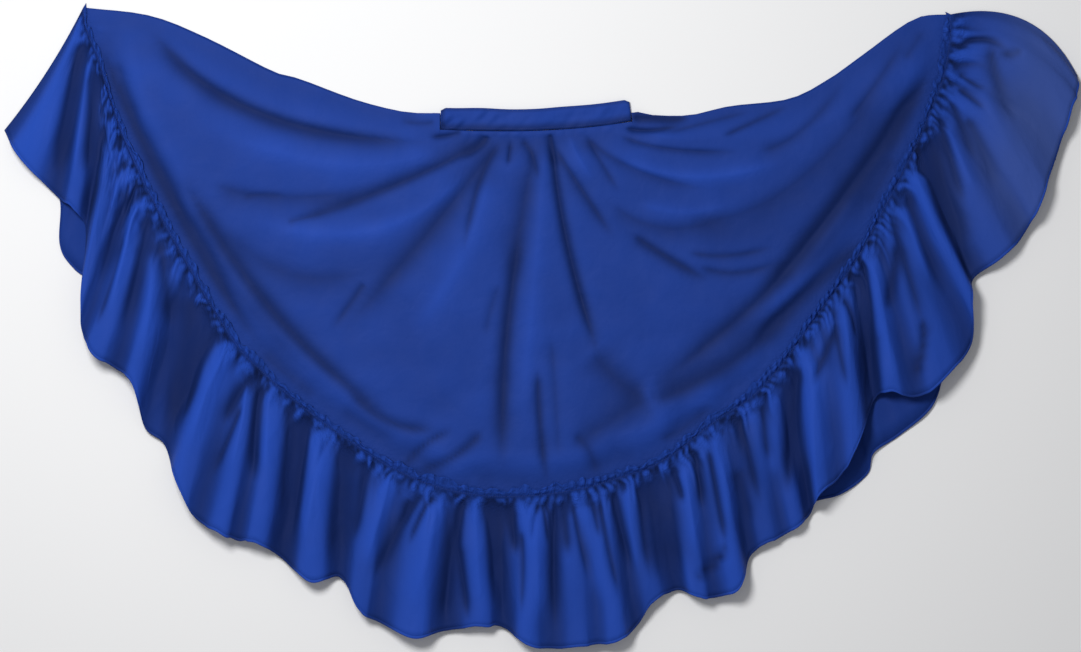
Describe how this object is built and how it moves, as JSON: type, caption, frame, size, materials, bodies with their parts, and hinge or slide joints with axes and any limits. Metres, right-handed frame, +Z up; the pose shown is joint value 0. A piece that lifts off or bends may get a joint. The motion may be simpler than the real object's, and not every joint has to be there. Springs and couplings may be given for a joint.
{
  "type": "folklorico dance skirt",
  "caption": "Long wide circle skirt with a narrow elastic waistband and a deep gathered ruffle all round, laid out flat and spread wide.",
  "frame": {"origin": "on the surface that the skirt lies on, under the middle of its outline", "axes": "+X to the right across the spread skirt, +Y from the hem towards the waist, +Z up out of the surface, through the back pieces to the front ones"},
  "size_m": [1.8244, 1.0957, 0.0468],
  "materials": {
    "skirt_cloth": "plain woven cotton blend, royal blue, soft satin sheen",
    "ruffle_cloth": "the same cloth, gathered, with a narrow rolled hem",
    "band_cloth": "the same cloth doubled over elastic"
  },
  "bodies": {
    "root": {"front_panel": "skirt_cloth", "back_panel": "skirt_cloth", "front_ruffle": "ruffle_cloth", "back_ruffle": "ruffle_cloth", "waistband": "band_cloth"}
  },
  "joints": []
}
